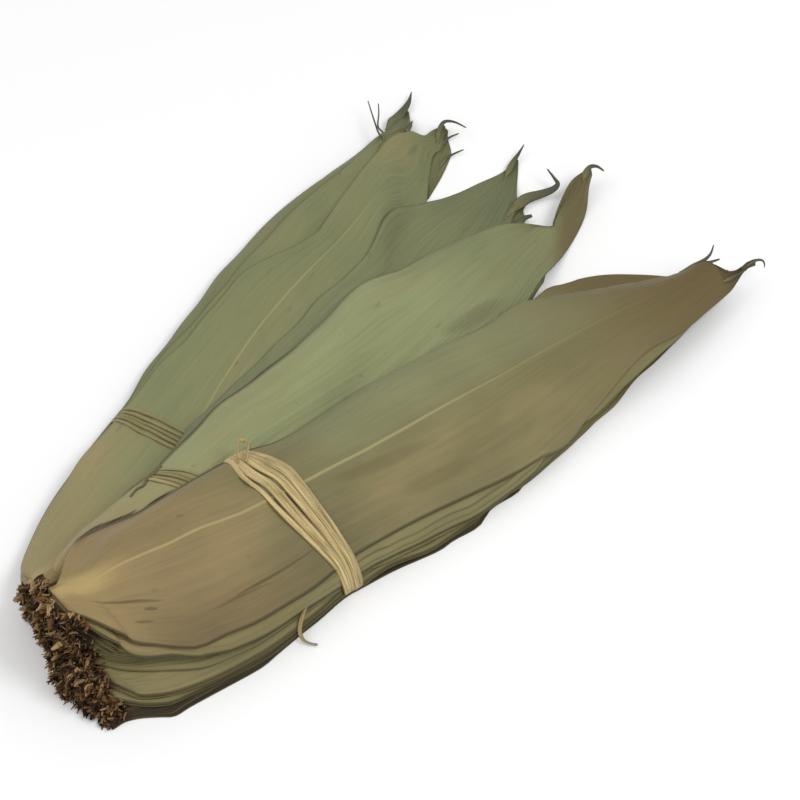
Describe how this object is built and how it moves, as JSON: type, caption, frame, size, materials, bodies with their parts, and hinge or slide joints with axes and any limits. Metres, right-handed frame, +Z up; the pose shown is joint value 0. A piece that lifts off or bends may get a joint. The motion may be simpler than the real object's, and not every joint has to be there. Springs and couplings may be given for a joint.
{
  "type": "sheaf of dried bamboo leaves",
  "caption": "Sheaf of long dried bamboo leaves in tied hands, fanned from one heap of cut stalks, with pointed tips and flat raffia ties.",
  "frame": {"origin": "bottom centre of the bounding box, on the surface the sheaf lies on", "axes": "+X from the stalks to the tips, +Z up, +Y toward the hand that lies at the back"},
  "size_m": [0.3844, 0.216, 0.0496],
  "materials": {
    "leaf_back": "matt dried leaf, grey green",
    "leaf_middle": "matt dried leaf, pale grey green",
    "leaf_front": "matt dried leaf, olive to brown",
    "raffia": "straw-coloured fibre with a slight sheen"
  },
  "bodies": {
    "root": {"leaf_back_01": "leaf_back", "leaf_back_02": "leaf_back", "leaf_back_03": "leaf_back", "leaf_back_04": "leaf_back", "leaf_back_05": "leaf_back", "leaf_back_06": "leaf_back", "leaf_back_07": "leaf_back", "leaf_back_08": "leaf_back", "leaf_back_09": "leaf_back", "tie_back": "raffia", "leaf_middle_01": "leaf_middle", "leaf_middle_02": "leaf_middle", "leaf_middle_03": "leaf_middle", "leaf_middle_04": "leaf_middle", "leaf_middle_05": "leaf_middle", "leaf_middle_06": "leaf_middle", "leaf_middle_07": "leaf_middle", "leaf_middle_08": "leaf_middle", "leaf_middle_09": "leaf_middle", "tie_middle": "raffia", "leaf_front_01": "leaf_front", "leaf_front_02": "leaf_front", "leaf_front_03": "leaf_front", "leaf_front_04": "leaf_front", "leaf_front_05": "leaf_front", "leaf_front_06": "leaf_front", "leaf_front_07": "leaf_front", "leaf_front_08": "leaf_front", "leaf_front_09": "leaf_front", "leaf_front_10": "leaf_front", "leaf_front_11": "leaf_front", "leaf_front_12": "leaf_front", "leaf_front_13": "leaf_front", "leaf_front_14": "leaf_front", "tie_front": "raffia"}
  },
  "joints": []
}
